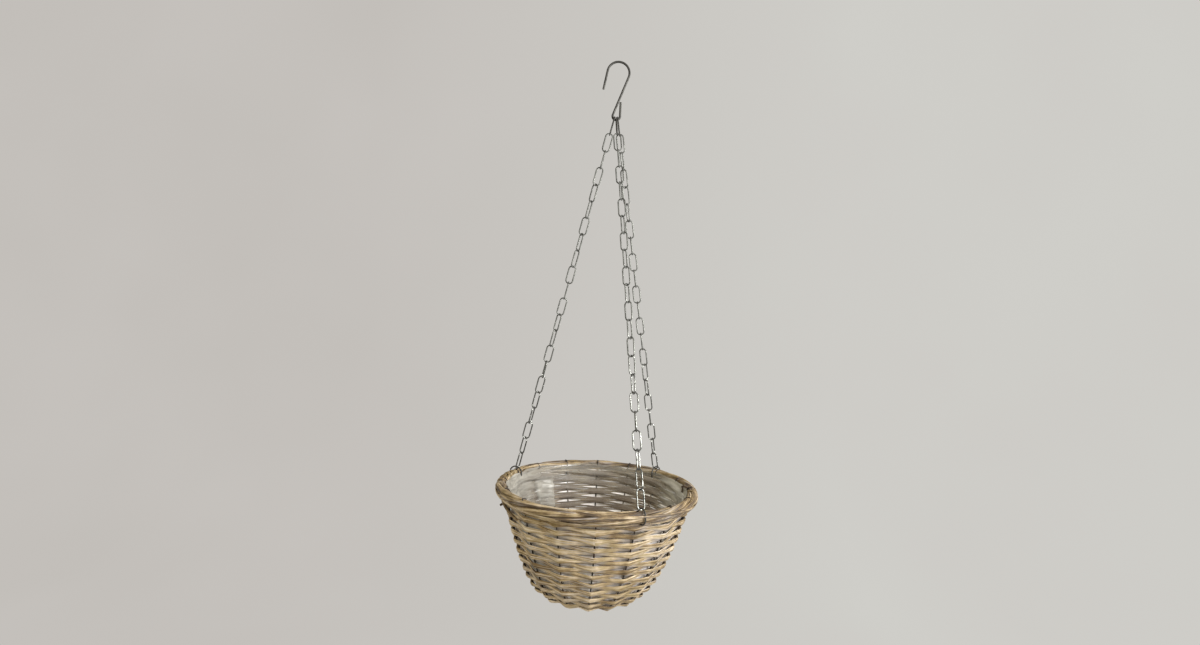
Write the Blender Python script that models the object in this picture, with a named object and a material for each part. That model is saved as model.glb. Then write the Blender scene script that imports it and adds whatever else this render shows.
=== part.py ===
"""Hanging basket of woven willow, on three steel chains and a wire hook.

Metres, +Z up. The origin is the inner side of the hook's crown, where the basket hangs.
+X is to the right and -Y to the front. The pieces of the basket are placed under an empty
at the middle of the rim hoop, and each chain under an empty on its own line.
"""

import math

import bmesh
import bpy
from mathutils import Matrix, Vector

# Gap between two pieces that touch on the real basket
CLEARANCE = 0.0003

# Hook: one wire, bent into an open crook above and a small closed eye below
HOOK_WIRE = 0.0028
HOOK_DROP = 0.0742
CROOK_RADIUS = 0.0142
CROOK_END_DEGREES = 170
TIP_LENGTH = 0.0246
EYE_RADIUS = 0.0048
EYE_END_GAP = 0.0004
EYE_SEAT_DEGREES = 62

# Chains: straight links of round wire, three fused to a group below each top link
LINK_WIRE = 0.0018
LINK_INNER_LENGTH = 0.0220
LINK_INNER_WIDTH = 0.0072
LINKS_PER_GROUP = 3
GROUPS_PER_CHAIN = 7
LINK_BITE = 0.0003
RING_WIRE = 0.0018
RING_END_GAP = 0.0004
CHAIN_DEGREES = {"a": 155.9, "b": 294.7, "c": 47.0}

# Rim: a wire hoop inside four willow rods that wind round it
HOOP_RADIUS = 0.1240
HOOP_WIRE = 0.0030
ROD_DIAMETER = 0.0052
ROD_GAP = 0.0004
ROD_COUNT = 4
ROD_TURNS = 3

# Wall: wire ribs, and willow courses that pass over and under them by turns
RIB_COUNT = 16
RIB_WIRE = 0.0018
RIB_GAP = 0.0006
FRONT_RIB_DEGREES = 270
RIM_TO_WALL = 0.0014
RIM_INSET = 0.0065
WALL_HEIGHT = 0.1240
BASE_RADIUS = 0.0580
COURSE_COUNT = 23
COURSE_THICKNESS = 0.0026
COURSE_GAP = 0.0004
BASE_CHAMFER = 0.0008
LINER_THICKNESS = 0.0006
LINER_STEP = 0.0100

# Heights where the basket turns and swings
TURN_DROP = 0.0220

# Faces of the round pieces
WIRE_SIDES = 4
HOOK_SIDES = 8
ROD_SIDES = 5
RIM_STATIONS = 36
RING_STATIONS = 12
LINER_STEPS = 4
LINER_CROWDING = 1.5
COURSES_PER_EASE = 4
MERGE_DISTANCE = 0.000003
SHARP_DEGREES = 50

# Places that follow from the sizes
BUNDLE_RADIUS = HOOP_WIRE / 2 + ROD_GAP + ROD_DIAMETER
ROD_ORBIT = HOOP_WIRE / 2 + ROD_GAP + ROD_DIAMETER / 2
EYE_Z = HOOK_WIRE / 2 - HOOK_DROP
LINK_SPAN = LINK_INNER_LENGTH + LINK_WIRE
FUSED_PITCH = LINK_SPAN - LINK_WIRE + LINK_BITE
FREE_PITCH = LINK_SPAN - LINK_WIRE - CLEARANCE
GROUP_SPAN = LINK_SPAN + (LINKS_PER_GROUP - 1) * FUSED_PITCH
CHAIN_SPAN = LINK_SPAN + GROUPS_PER_CHAIN * (GROUP_SPAN - LINK_SPAN + FREE_PITCH)
LAST_CROWN = BUNDLE_RADIUS + CLEARANCE + LINK_WIRE / 2
SEAT_RADIUS = EYE_RADIUS - HOOK_WIRE / 2 - CLEARANCE - LINK_WIRE / 2
HOOP_Z = (EYE_Z + EYE_RADIUS - SEAT_RADIUS
          - math.sqrt((CHAIN_SPAN + LAST_CROWN) ** 2 - HOOP_RADIUS ** 2))
WALL_TOP_RADIUS = HOOP_RADIUS - RIM_INSET
WALL_TOP_Z = -BUNDLE_RADIUS - RIM_TO_WALL
BASE_Z = WALL_TOP_Z - WALL_HEIGHT
WALL_RUN = WALL_TOP_RADIUS - BASE_RADIUS
BOWL = WALL_HEIGHT / WALL_RUN ** 2
COURSE_OFFSET = RIB_WIRE / 2 + RIB_GAP + COURSE_THICKNESS / 2
WALL_REACH = COURSE_OFFSET + COURSE_THICKNESS / 2
AXIS_X = Vector((1, 0, 0))
AXIS_Y = Vector((0, 1, 0))
AXIS_Z = Vector((0, 0, 1))


def clear_scene():
    for item in list(bpy.data.objects):
        bpy.data.objects.remove(item, do_unlink=True)


def make_material(name, colour, roughness, metallic):
    material = bpy.data.materials.new(name)
    material.use_nodes = True
    shader = material.node_tree.nodes["Principled BSDF"]
    shader.inputs["Base Color"].default_value = (*colour, 1)
    shader.inputs["Roughness"].default_value = roughness
    shader.inputs["Metallic"].default_value = metallic
    return material


def add_object(name, mesh, material, parent):
    """Object that shows MESH under the empty PARENT."""
    item = bpy.data.objects.new(name, mesh)
    if not mesh.materials:
        mesh.materials.append(material)
    item.parent = parent
    bpy.context.scene.collection.objects.link(item)
    return item


def add_axis(name, place, parent=None, directions=None):
    """Empty at PLACE, turned so that its X, Y and Z lie along the three DIRECTIONS."""
    item = bpy.data.objects.new(name, None)
    item.empty_display_size = CROOK_RADIUS
    item.location = place
    if directions:
        item.rotation_mode = "QUATERNION"
        item.rotation_quaternion = Matrix(directions).transposed().to_quaternion()
    item.parent = parent
    bpy.context.scene.collection.objects.link(item)
    return item


def finish_mesh(name, bm):
    """Mesh with its faces turned out and its round sides shaded smooth."""
    bmesh.ops.recalc_face_normals(bm, faces=bm.faces)
    mesh = bpy.data.meshes.new(name)
    bm.to_mesh(mesh)
    bm.free()
    mesh.shade_smooth()
    mesh.set_sharp_from_angle(angle=math.radians(SHARP_DEGREES))
    return mesh


def loft(name, sections, closed):
    """Skin through SECTIONS, each a list of points, joined into a loop or capped at its ends."""
    bm = bmesh.new()
    rings = [[bm.verts.new(point) for point in section] for section in sections]
    pairs = list(zip(rings, rings[1:]))
    if closed:
        pairs.append((rings[-1], rings[0]))
    else:
        bm.faces.new(rings[0])
        bm.faces.new(rings[-1])
    for first, second in pairs:
        for i in range(len(first)):
            j = (i + 1) % len(first)
            bm.faces.new((first[i], first[j], second[j], second[i]))
    return finish_mesh(name, bm)


def arc(centre, radius, start, end, steps, across, up):
    """Points on an arc in the plane of ACROSS and UP, angles in degrees."""
    points = []
    for i in range(steps + 1):
        angle = math.radians(start + (end - start) * i / steps)
        points.append(centre + radius * (math.cos(angle) * across + math.sin(angle) * up))
    return points


def bent_wire(name, path, normal, wire, sides, closed=False):
    """Round wire bent along PATH in the plane across NORMAL, mitred at each bend."""
    sections = []
    for i, point in enumerate(path):
        before = path[i - 1] if closed or i else 2 * point - path[1]
        after = path[(i + 1) % len(path)] if closed or i < len(path) - 1 else 2 * point - path[-2]
        leaving = (after - point).normalized()
        along = (leaving + (point - before).normalized()).normalized()
        side = normal.cross(along) / along.dot(leaving)
        sections.append(arc(point, wire / 2, 0, 360, sides, side, normal)[:-1])
    return loft(name, sections, closed)


def radial_ring(name, stations, section_at):
    """Closed ring round the basket's axis, with the section (radius, z) that SECTION_AT gives."""
    sections = []
    for i in range(stations):
        degrees = FRONT_RIB_DEGREES + 360 * i / stations
        across = radial(degrees)
        sections.append([r * across + z * AXIS_Z for r, z in section_at(i, degrees)])
    return loft(name, sections, True)


def radial(degrees):
    angle = math.radians(degrees)
    return Vector((math.cos(angle), math.sin(angle), 0))


def wall_arc(run):
    """Length of the wall's curve from the base's edge to RUN beyond it."""
    slope = 2 * BOWL * run
    return run / 2 * math.sqrt(1 + slope ** 2) + math.asinh(slope) / (4 * BOWL)


def wall_point(length, offset):
    """Radius and z at LENGTH along the wall from the base's edge, OFFSET outwards from it.

    The wall's middle is a parabola that leaves the flat base level and grows steeper.
    """
    low, high = 0, WALL_RUN
    for _ in range(50):
        run = (low + high) / 2
        if wall_arc(run) < length:
            low = run
        else:
            high = run
    slope = 2 * BOWL * run
    unit = offset / math.sqrt(1 + slope ** 2)
    return BASE_RADIUS + run + unit * slope, BASE_Z + BOWL * run ** 2 - unit


WALL_LENGTH = wall_arc(WALL_RUN)
COURSE_PITCH = WALL_LENGTH / COURSE_COUNT


def hook_mesh():
    """Wire from the eye's closing end, round the eye, up the shank and over the crook to the tip."""
    crook = AXIS_Z * (HOOK_WIRE / 2 - CROOK_RADIUS)
    eye = AXIS_Z * (EYE_Z + EYE_RADIUS)
    apart = (crook - eye).length
    lean = math.asin((EYE_RADIUS + CROOK_RADIUS) / apart)
    lean_degrees = math.degrees(lean)
    closing_x = EYE_RADIUS - HOOK_WIRE / 2 - (HOOK_WIRE / 2 + EYE_END_GAP) / math.cos(lean)
    closing_rise = (closing_x + EYE_RADIUS * math.cos(lean)) / math.tan(lean)
    closing_z = eye.z + EYE_RADIUS * math.sin(lean) + closing_rise
    path = [AXIS_X * EYE_RADIUS + AXIS_Z * closing_z]
    path += arc(eye, EYE_RADIUS, 0, -90, 4, AXIS_X, AXIS_Z)
    path += arc(eye, EYE_RADIUS, -90, -180 - lean_degrees, 5, AXIS_X, AXIS_Z)[1:]
    path += arc(crook, CROOK_RADIUS, -lean_degrees, 90, 7, AXIS_X, AXIS_Z)
    path += arc(crook, CROOK_RADIUS, 90, CROOK_END_DEGREES, 5, AXIS_X, AXIS_Z)[1:]
    tip = radial(CROOK_END_DEGREES + 90)
    path.append(path[-1] + TIP_LENGTH * (tip.x * AXIS_X + tip.y * AXIS_Z))
    return bent_wire("hook", path, AXIS_Y, HOOK_WIRE, HOOK_SIDES)


def link_mesh():
    """One link in the local Y-Z plane, hanging from the middle of its top crown's wire."""
    half_width = (LINK_INNER_WIDTH + LINK_WIRE) / 2
    crown_half = half_width * math.tan(math.radians(30))
    outline = [(half_width, -half_width), (crown_half, 0), (-crown_half, 0), (-half_width, -half_width)]
    outline += [(y, -LINK_SPAN - z) for y, z in reversed(outline)]
    path = [y * AXIS_Y + z * AXIS_Z for y, z in outline]
    return bent_wire("link", path, AXIS_X, LINK_WIRE, WIRE_SIDES, closed=True)


def link_group_mesh():
    """Links fused where they bite into one another, each turned a quarter from the last."""
    links = []
    for i in range(LINKS_PER_GROUP):
        link = bpy.data.objects.new("group_link", link_mesh())
        link.location.z = -i * FUSED_PITCH
        link.rotation_euler.z = math.radians(90 * i)
        bpy.context.scene.collection.objects.link(link)
        links.append(link)
    for other in links[1:]:
        union = links[0].modifiers.new("union", "BOOLEAN")
        union.operation = "UNION"
        union.solver = "EXACT"
        union.object = other
    bpy.context.view_layer.update()
    fused = links[0].evaluated_get(bpy.context.evaluated_depsgraph_get())
    mesh = bpy.data.meshes.new_from_object(fused)
    mesh.name = "link_group"
    for link in links:
        bpy.data.objects.remove(link, do_unlink=True)
    return mesh


def ring_mesh(down):
    """Ring round the rim, local to the hoop's wire, hanging from a chain along DOWN."""
    inner_low = BUNDLE_RADIUS + CLEARANCE
    inner_high = LAST_CROWN + LINK_WIRE / 2 + CLEARANCE
    radius = (inner_low + inner_high + RING_WIRE) / 2
    centre = -down * (inner_high - inner_low) / 2
    across = AXIS_X - AXIS_X.dot(down) * down
    across.normalize()
    half_gap = math.degrees((RING_WIRE + RING_END_GAP) / 2 / radius)
    path = arc(centre, radius, half_gap, 360 - half_gap, RING_STATIONS, across, down)
    return bent_wire("ring", path, across.cross(down), RING_WIRE, WIRE_SIDES)


def rod_mesh(number):
    """Willow rod that winds round the hoop as it runs along it."""
    def section(_, degrees):
        turn = math.radians(ROD_TURNS * degrees + 360 * number / ROD_COUNT)
        middle_r = HOOP_RADIUS + ROD_ORBIT * math.cos(turn)
        middle_z = ROD_ORBIT * math.sin(turn)
        return polygon(middle_r, middle_z, ROD_DIAMETER / 2, ROD_SIDES)
    return radial_ring("rod", RIM_STATIONS, section)


def hoop_mesh():
    def section(_, degrees):
        return polygon(HOOP_RADIUS, 0, HOOP_WIRE / 2, WIRE_SIDES)
    return radial_ring("hoop", RIM_STATIONS, section)


def polygon(middle_r, middle_z, radius, sides):
    angles = [math.tau * i / sides for i in range(sides)]
    return [(middle_r + radius * math.cos(a), middle_z + radius * math.sin(a)) for a in angles]


def course_mesh(number):
    """Weaver number NUMBER from the top, outside one rib and inside the next."""
    low = WALL_LENGTH - number * COURSE_PITCH + COURSE_GAP / 2
    high = low + COURSE_PITCH - COURSE_GAP

    def section(station, _):
        side = (0, -1, 0, 1)[(station + 1 + 2 * (number - 1)) % 4]
        outer = COURSE_OFFSET * side + COURSE_THICKNESS / 2
        inner = outer - COURSE_THICKNESS
        return [wall_point(low, outer), wall_point(high, outer),
                wall_point(high, inner), wall_point(low, inner)]
    return radial_ring("course", 2 * RIB_COUNT, section)


def rib_lengths():
    """Lengths along the wall where a rib bends: at each course below, at wider steps above."""
    course = 0
    lengths = []
    while course < COURSE_COUNT:
        lengths.append(course * COURSE_PITCH)
        course += 1 + course // COURSES_PER_EASE
    return lengths + [WALL_LENGTH]


def rib_cage_mesh():
    """Ribs that run up from one hub below the middle, each with a square wire section."""
    bm = bmesh.new()
    half = RIB_WIRE / 2
    step = 360 / RIB_COUNT
    hub_radius = half / math.sin(math.radians(step / 2))
    hub = {}
    for z in (BASE_Z - half, BASE_Z + half):
        corners = [radial(FRONT_RIB_DEGREES + step * (i - 0.5)) * hub_radius for i in range(RIB_COUNT)]
        hub[z] = [bm.verts.new(corner + z * AXIS_Z) for corner in corners]
        bm.faces.new(hub[z])
    wall = [wall_point(length, 0) for length in rib_lengths()]
    top_r, top_z = wall[-1]
    reach = math.hypot(HOOP_RADIUS - top_r, top_z)
    share = 1 - (BUNDLE_RADIUS + CLEARANCE) / reach
    middles = wall + [(top_r + (HOOP_RADIUS - top_r) * share, top_z * (1 - share))]
    for i in range(RIB_COUNT):
        across = radial(FRONT_RIB_DEGREES + step * i)
        tangent = AXIS_Z.cross(across)
        j = (i + 1) % RIB_COUNT
        low, high = hub[BASE_Z - half], hub[BASE_Z + half]
        last = [low[i], low[j], high[j], high[i]]
        for k, (r, z) in enumerate(middles):
            before = Vector(middles[k - 1]) if k else Vector((0, BASE_Z))
            after = Vector(middles[min(k + 1, len(middles) - 1)])
            here = Vector((r, z))
            leaving = (after - here).normalized() if k < len(middles) - 1 else (here - before).normalized()
            along = (leaving + (here - before).normalized()).normalized()
            stretch = half / along.dot(leaving)
            inward = stretch * (-along.y * across + along.x * AXIS_Z)
            middle = r * across + z * AXIS_Z
            sides = ((-1, -1), (1, -1), (1, 1), (-1, 1))
            ring = [bm.verts.new(middle + half * a * tangent + b * inward) for a, b in sides]
            for m in range(4):
                n = (m + 1) % 4
                bm.faces.new((last[m], last[n], ring[n], ring[m]))
            last = ring
        bm.faces.new(last)
    return finish_mesh("rib_cage", bm)


def lathe(name, profile, steps):
    """Solid turned from PROFILE, (radius, z) points that start and end on the axis."""
    bm = bmesh.new()
    points = [bm.verts.new((r, 0, z)) for r, z in profile]
    edges = [bm.edges.new(pair) for pair in zip(points, points[1:])]
    bmesh.ops.spin(bm, geom=points + edges, axis=AXIS_Z, angle=math.tau, steps=steps, use_merge=True)
    bmesh.ops.remove_doubles(bm, verts=bm.verts, dist=MERGE_DISTANCE)
    return finish_mesh(name, bm)


def base_mesh():
    """Flat woven bottom below the ribs, as one disc with chamfered edges."""
    top = BASE_Z - RIB_WIRE / 2 - CLEARANCE
    bottom = BASE_Z - WALL_REACH
    edge = BASE_RADIUS - CLEARANCE
    profile = [(0, top), (edge - BASE_CHAMFER, top), (edge, top - BASE_CHAMFER),
               (edge, bottom + BASE_CHAMFER), (edge - BASE_CHAMFER, bottom), (0, bottom)]
    return lathe("base", profile, 2 * RIB_COUNT)


def liner_mesh():
    """Clear film inside the wall, resting on the ribs at the bottom."""
    outer_offset = -WALL_REACH - CLEARANCE
    outer, inner = [], []
    for i in range(LINER_STEPS + 1):
        length = WALL_LENGTH * (i / LINER_STEPS) ** LINER_CROWDING
        outer.append(wall_point(length, outer_offset))
        inner.append(wall_point(length, outer_offset - LINER_THICKNESS))
    floor = BASE_Z + RIB_WIRE / 2 + CLEARANCE
    edge = BASE_RADIUS - LINER_STEP
    profile = [(0, floor), (edge, floor)] + outer + inner[::-1]
    profile += [(edge, floor + LINER_THICKNESS), (0, floor + LINER_THICKNESS)]
    return lathe("liner", profile, 2 * RIB_COUNT)


def seat_degrees(letter):
    """Where a chain's top crown lies in the eye: the left chain left, the right one right."""
    return {"a": -EYE_SEAT_DEGREES, "b": 0, "c": EYE_SEAT_DEGREES}[letter]


def chain_line(letter):
    """Top crown, rim point and downward direction of a chain, in the world."""
    seat = radial(seat_degrees(letter) - 90) * SEAT_RADIUS
    top = Vector((seat.x, 0, EYE_Z + EYE_RADIUS + seat.y))
    rim = radial(CHAIN_DEGREES[letter]) * HOOP_RADIUS + HOOP_Z * AXIS_Z
    return top, rim, (rim - top).normalized()


def flatten(vector, direction):
    """Part of VECTOR across DIRECTION, as a unit vector."""
    return (vector - vector.dot(direction) * direction).normalized()


def build_chain(letter, link, group, steel, swing, basket):
    """Top link on the eye, groups of links below it, and the ring that holds the rim."""
    top, rim, down = chain_line(letter)
    first_normal = flatten(AXIS_X, down)
    last_normal = flatten(radial(CHAIN_DEGREES[letter]), down)
    up = -down
    turned = math.degrees(math.atan2(first_normal.cross(last_normal).dot(up), first_normal.dot(last_normal)))
    links = 1 + GROUPS_PER_CHAIN * LINKS_PER_GROUP
    extra = (turned - 90 * (links - 1) + 90) % 180 - 90
    slack = ((rim - top).length - LAST_CROWN - CHAIN_SPAN) / GROUPS_PER_CHAIN

    directions = (first_normal, up.cross(first_normal), up)
    top_axis = add_axis("axis_chain_" + letter + "_top", top - swing.matrix_world.translation, swing, directions)
    line_axis = add_axis("axis_chain_" + letter, top - basket.matrix_world.translation, basket, directions)
    add_object("chain_" + letter + "_link_01", link, steel, top_axis)
    for i in range(GROUPS_PER_CHAIN):
        number = 2 + i * LINKS_PER_GROUP
        name = "chain_%s_links_%02d_%02d" % (letter, number, number + LINKS_PER_GROUP - 1)
        item = add_object(name, group, steel, line_axis)
        item.location.z = -(i + 1) * (FREE_PITCH + slack) - i * (GROUP_SPAN - LINK_SPAN)
        item.rotation_euler.z = math.radians(90 * (number - 1) + extra * (i + 1) / GROUPS_PER_CHAIN)

    outward = radial(CHAIN_DEGREES[letter])
    side = AXIS_Z.cross(outward)
    ring_axis = add_axis("axis_ring_" + letter, rim - basket.matrix_world.translation, basket,
                         (outward, side, AXIS_Z))
    local_down = Vector((down.dot(outward), 0, down.z)).normalized()
    add_object("chain_" + letter + "_ring", ring_mesh(local_down), steel, ring_axis)


def main():
    clear_scene()
    zinc = make_material("zinc_steel", (0.42, 0.41, 0.40), 0.38, 1.0)
    dark_wire = make_material("dark_wire", (0.045, 0.038, 0.034), 0.55, 0.6)
    willow = make_material("willow", (0.42, 0.30, 0.17), 0.62, 0.0)
    pale_willow = make_material("pale_willow", (0.55, 0.42, 0.25), 0.58, 0.0)
    film = make_material("clear_film", (0.62, 0.62, 0.60), 0.20, 0.0)

    swing = add_axis("axis_eye_swing", EYE_Z * AXIS_Z)
    turn = add_axis("axis_basket_turn", -TURN_DROP * AXIS_Z, swing)
    basket = add_axis("axis_basket", (HOOP_Z - EYE_Z + TURN_DROP) * AXIS_Z, turn)
    bpy.context.view_layer.update()

    add_object("hook", hook_mesh(), zinc, None)
    link = link_mesh()
    group = link_group_mesh()
    for letter in CHAIN_DEGREES:
        build_chain(letter, link, group, zinc, swing, basket)

    add_object("hoop_wire", hoop_mesh(), dark_wire, basket)
    add_object("rib_cage", rib_cage_mesh(), dark_wire, basket)
    for i in range(ROD_COUNT):
        add_object("border_rod_%d" % (i + 1), rod_mesh(i), pale_willow, basket)
    for number in range(1, COURSE_COUNT + 1):
        shade = pale_willow if number % 4 == 1 else willow
        add_object("weave_course_%02d" % number, course_mesh(number), shade, basket)
    add_object("base_disc", base_mesh(), willow, basket)
    add_object("liner", liner_mesh(), film, basket)


main()
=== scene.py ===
import math
import random

import bpy
import numpy as np
from mathutils import Matrix, Vector, noise


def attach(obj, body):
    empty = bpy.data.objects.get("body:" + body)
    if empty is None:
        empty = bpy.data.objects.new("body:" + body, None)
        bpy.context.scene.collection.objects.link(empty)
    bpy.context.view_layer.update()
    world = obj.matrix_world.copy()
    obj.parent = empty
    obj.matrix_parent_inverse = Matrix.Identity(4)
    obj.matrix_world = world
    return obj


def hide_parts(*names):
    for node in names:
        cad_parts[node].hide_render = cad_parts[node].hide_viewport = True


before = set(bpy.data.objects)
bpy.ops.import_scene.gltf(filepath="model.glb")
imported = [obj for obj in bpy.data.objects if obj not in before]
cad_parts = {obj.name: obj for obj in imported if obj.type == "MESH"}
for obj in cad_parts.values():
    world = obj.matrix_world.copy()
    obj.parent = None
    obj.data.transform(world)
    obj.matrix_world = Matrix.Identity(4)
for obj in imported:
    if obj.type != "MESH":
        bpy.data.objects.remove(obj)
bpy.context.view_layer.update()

# Sizes that the solids have too
HOOK_WIRE = 0.0028
HOOK_DROP = 0.0742
CROOK_RADIUS = 0.0142
CROOK_END_DEGREES = 170
TIP_LENGTH = 0.0246
EYE_RADIUS = 0.0048
EYE_END_GAP = 0.0004
EYE_SEAT_DEGREES = 62
CLEARANCE = 0.0003
LINK_WIRE = 0.0018
LINK_INNER_LENGTH = 0.022
LINK_INNER_WIDTH = 0.0072
LINKS_PER_GROUP = 3
GROUPS_PER_CHAIN = 7
LINK_BITE = 0.0003
RING_WIRE = 0.0018
RING_END_GAP = 0.0004
CHAIN_DEGREES = {"a": 155.9, "b": 294.7, "c": 47.0}
HOOP_RADIUS = 0.124
HOOP_WIRE = 0.003
ROD_DIAMETER = 0.0052
ROD_GAP = 0.0004
ROD_COUNT = 4
ROD_TURNS = 3
RIB_COUNT = 16
RIB_WIRE = 0.0018
RIB_GAP = 0.0006
FRONT_RIB_DEGREES = 270
RIM_TO_WALL = 0.0014
RIM_INSET = 0.0065
WALL_HEIGHT = 0.124
BASE_RADIUS = 0.058
COURSE_COUNT = 23
COURSE_THICKNESS = 0.0026

# Places that follow from them
BUNDLE_RADIUS = HOOP_WIRE / 2 + ROD_GAP + ROD_DIAMETER
ROD_ORBIT = HOOP_WIRE / 2 + ROD_GAP + ROD_DIAMETER / 2
EYE_Z = HOOK_WIRE / 2 - HOOK_DROP
LINK_SPAN = LINK_INNER_LENGTH + LINK_WIRE
FUSED_PITCH = LINK_SPAN - LINK_WIRE + LINK_BITE
FREE_PITCH = LINK_SPAN - LINK_WIRE - CLEARANCE
GROUP_SPAN = LINK_SPAN + (LINKS_PER_GROUP - 1) * FUSED_PITCH
CHAIN_SPAN = LINK_SPAN + GROUPS_PER_CHAIN * (GROUP_SPAN - LINK_SPAN + FREE_PITCH)
LAST_CROWN = BUNDLE_RADIUS + CLEARANCE + LINK_WIRE / 2
SEAT_RADIUS = EYE_RADIUS - HOOK_WIRE / 2 - CLEARANCE - LINK_WIRE / 2
HOOP_Z = (EYE_Z + EYE_RADIUS - SEAT_RADIUS
          - math.sqrt((CHAIN_SPAN + LAST_CROWN) ** 2 - HOOP_RADIUS ** 2))
WALL_TOP_RADIUS = HOOP_RADIUS - RIM_INSET
WALL_TOP_Z = HOOP_Z - BUNDLE_RADIUS - RIM_TO_WALL
BASE_Z = WALL_TOP_Z - WALL_HEIGHT
WALL_RUN = WALL_TOP_RADIUS - BASE_RADIUS
BOWL = WALL_HEIGHT / WALL_RUN ** 2
COURSE_OFFSET = RIB_WIRE / 2 + RIB_GAP + COURSE_THICKNESS / 2
WALL_REACH = COURSE_OFFSET + COURSE_THICKNESS / 2
AXIS_X = Vector((1, 0, 0))
AXIS_Y = Vector((0, 1, 0))
AXIS_Z = Vector((0, 0, 1))

# How finely the pieces are laid out
STEPS_PER_RIB = 12
STATIONS = RIB_COUNT * STEPS_PER_RIB
STATIONS_PER_TURN = 288
COURSE_SIDES = 20
ROD_SIDES = 16
WIRE_SIDES = 12
HOOK_SIDES = 20
EYE_STEPS = 36
CROOK_STEPS = 60
CROWN_STEPS = 12
RING_STEPS = 48
RIB_STEPS = 60
KNOT_STEPS = 8
HOOP_STEPS = 144
LOOSE_STEPS = 14
BASE_STEPS_PER_RIB = 8
BASE_SIDES = 10
ROWS_PER_COURSE = 8
FLOOR_ROWS = 10
SWEEP_STEPS = 12
TABLE_STEPS = 600
TABLE_REACH_SHARE = 1.2
SHARP_DEGREES = 50

# Seeds of the random numbers, and the steps from one seed to the next
COURSE_SEED = 1000
STRAND_SEED = 2000
PACKING_SEED = 2500
BASE_SEED = 3000
KNOT_SEED = 4000
COURSE_SEED_STEP = 97
RIB_SEED_STEP = 13
WAVE_SEED_STEP = 7.31

# Hook's tip: places along it, and the end of its wire
TIP_SHARES = (0.3, 0.6, 0.9, 0.985, 1)
TIP_END_SHARE = 0.8

# Chains: how far the turn of a link runs from the quarter turns, in degrees (link, lag)
CROWN_WEAR_SHARE = 0.09
TOP_CROWN_WEAR_SHARE = 0.26
TOP_CROWN_PLAY = 0.00016
LINK_LAGS = {
    "a": ((1, 0), (2, 13), (3, 0), (7, 92), (10, 172), (12, 192), (15, 273), (17, 290), (20, 372), (22, 426)),
    "b": ((1, 0), (2, 3.5), (3, -9), (7, -28), (14, -34), (17, -85), (19, -92), (22, -155)),
    "c": ((1, 0), (2, -12), (3, -18), (7, -90), (14, -90), (18, -180), (20, -180), (22, -223)),
}

# Straight side of a link: places along it and how thick the wire is there, thinner at the seam
LINK_SIDE_SHARES = (
    (0.2, 1), (0.4, 1), (0.485, 1), (0.497, 0.84), (0.503, 0.84), (0.515, 1), (0.6, 1), (0.8, 1))

# Weave: split rods are thin where they cross between two ribs, and swell to a lens over each rib
CROSSING_HEIGHT = 0.0058
LENS_EXTRA_HEIGHT = 0.0022
CROSSING_THICKNESS = 0.0018
LENS_EXTRA_THICKNESS = 0.0006
WANDER = 0.0006
LENS_START_SHARE = 0.34
LENS_PLAY_SHARE = 0.8
ROLL_DEGREES = 10
CHORD_SHARE = 0.95
STRAIGHT_SHARE = 0.75
BUILD_SHARES = (0.95, 1.05)
RIDGE_SHARE = 0.45
RIPPLE_SHARE = 0.25
EDGE_POWER = 0.9
FACE_POWER = 0.85
TOP_COURSE_RISE = 0.0008
LEAN_LEFT = 0.0036
TOP_SWELL = 0.0024
LOW_DRAW = 0.0024
SWELL_START_SHARE = 0.06

# Weave: tones of a course, and where on its section they change, with painted highlight on the upper edge,
# painted shade on the lower edge and inner face, and painted light in the recess behind a rib
COURSE_TONES = (0.42, 0.62)
PLAIN_TONE = (0.5, 0, 0)
GRAIN_TONE = 0.26
DRIFT_TONE = 0.1
LENS_TONE = 0.16
UPPER_EDGE_HIGHLIGHT = 0.04
LOWER_EDGE_SHADE = 0.2
EDGE_SHARES = (0.6, 1)
INNER_FACE_SHARES = (0.35, -0.25)
INNER_LEAST_SHARE = 0.75
INSIDE_SHARES = (0.15, -0.75)
RECESS_SHARES = (-0.1, -0.8)
RECESS_FACE_SHARES = (-0.1, 0.4)

# Ribs: how they drop to the hub, and the knots that hold them on the rim
HUB_RADIUS = 0.005
BASE_RIB_DROP = 0.0015
BASE_DROP_LENGTH = 0.012
KNOT_START_DEGREES = (153, 177)
KNOT_END_DEGREES = (78, 100)
KNOT_SHIFT = 0.001
KNOT_LIFT = 0.0002
KNOT_SINK_SHARE = 0.6
KNOT_WIRE_SHARE = 0.9

# Base: rounds of split rod inside the lowest course
BASE_ROUNDS = 9
BASE_HOLE_RADIUS = 0.004
BASE_THICKNESS = 0.0016
BASE_RAISE = 0.0009
BASE_WAVE = 0.0015
BASE_CROSSING_SHARE = 0.95
BASE_LENS_SHARE = 0.15
BASE_LENS_START_SHARE = 0.4
BASE_TONES = (0.35, 0.6)
# Painted shade on the rounds of the base
BASE_INNER_SHADE = 0.2

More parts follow.
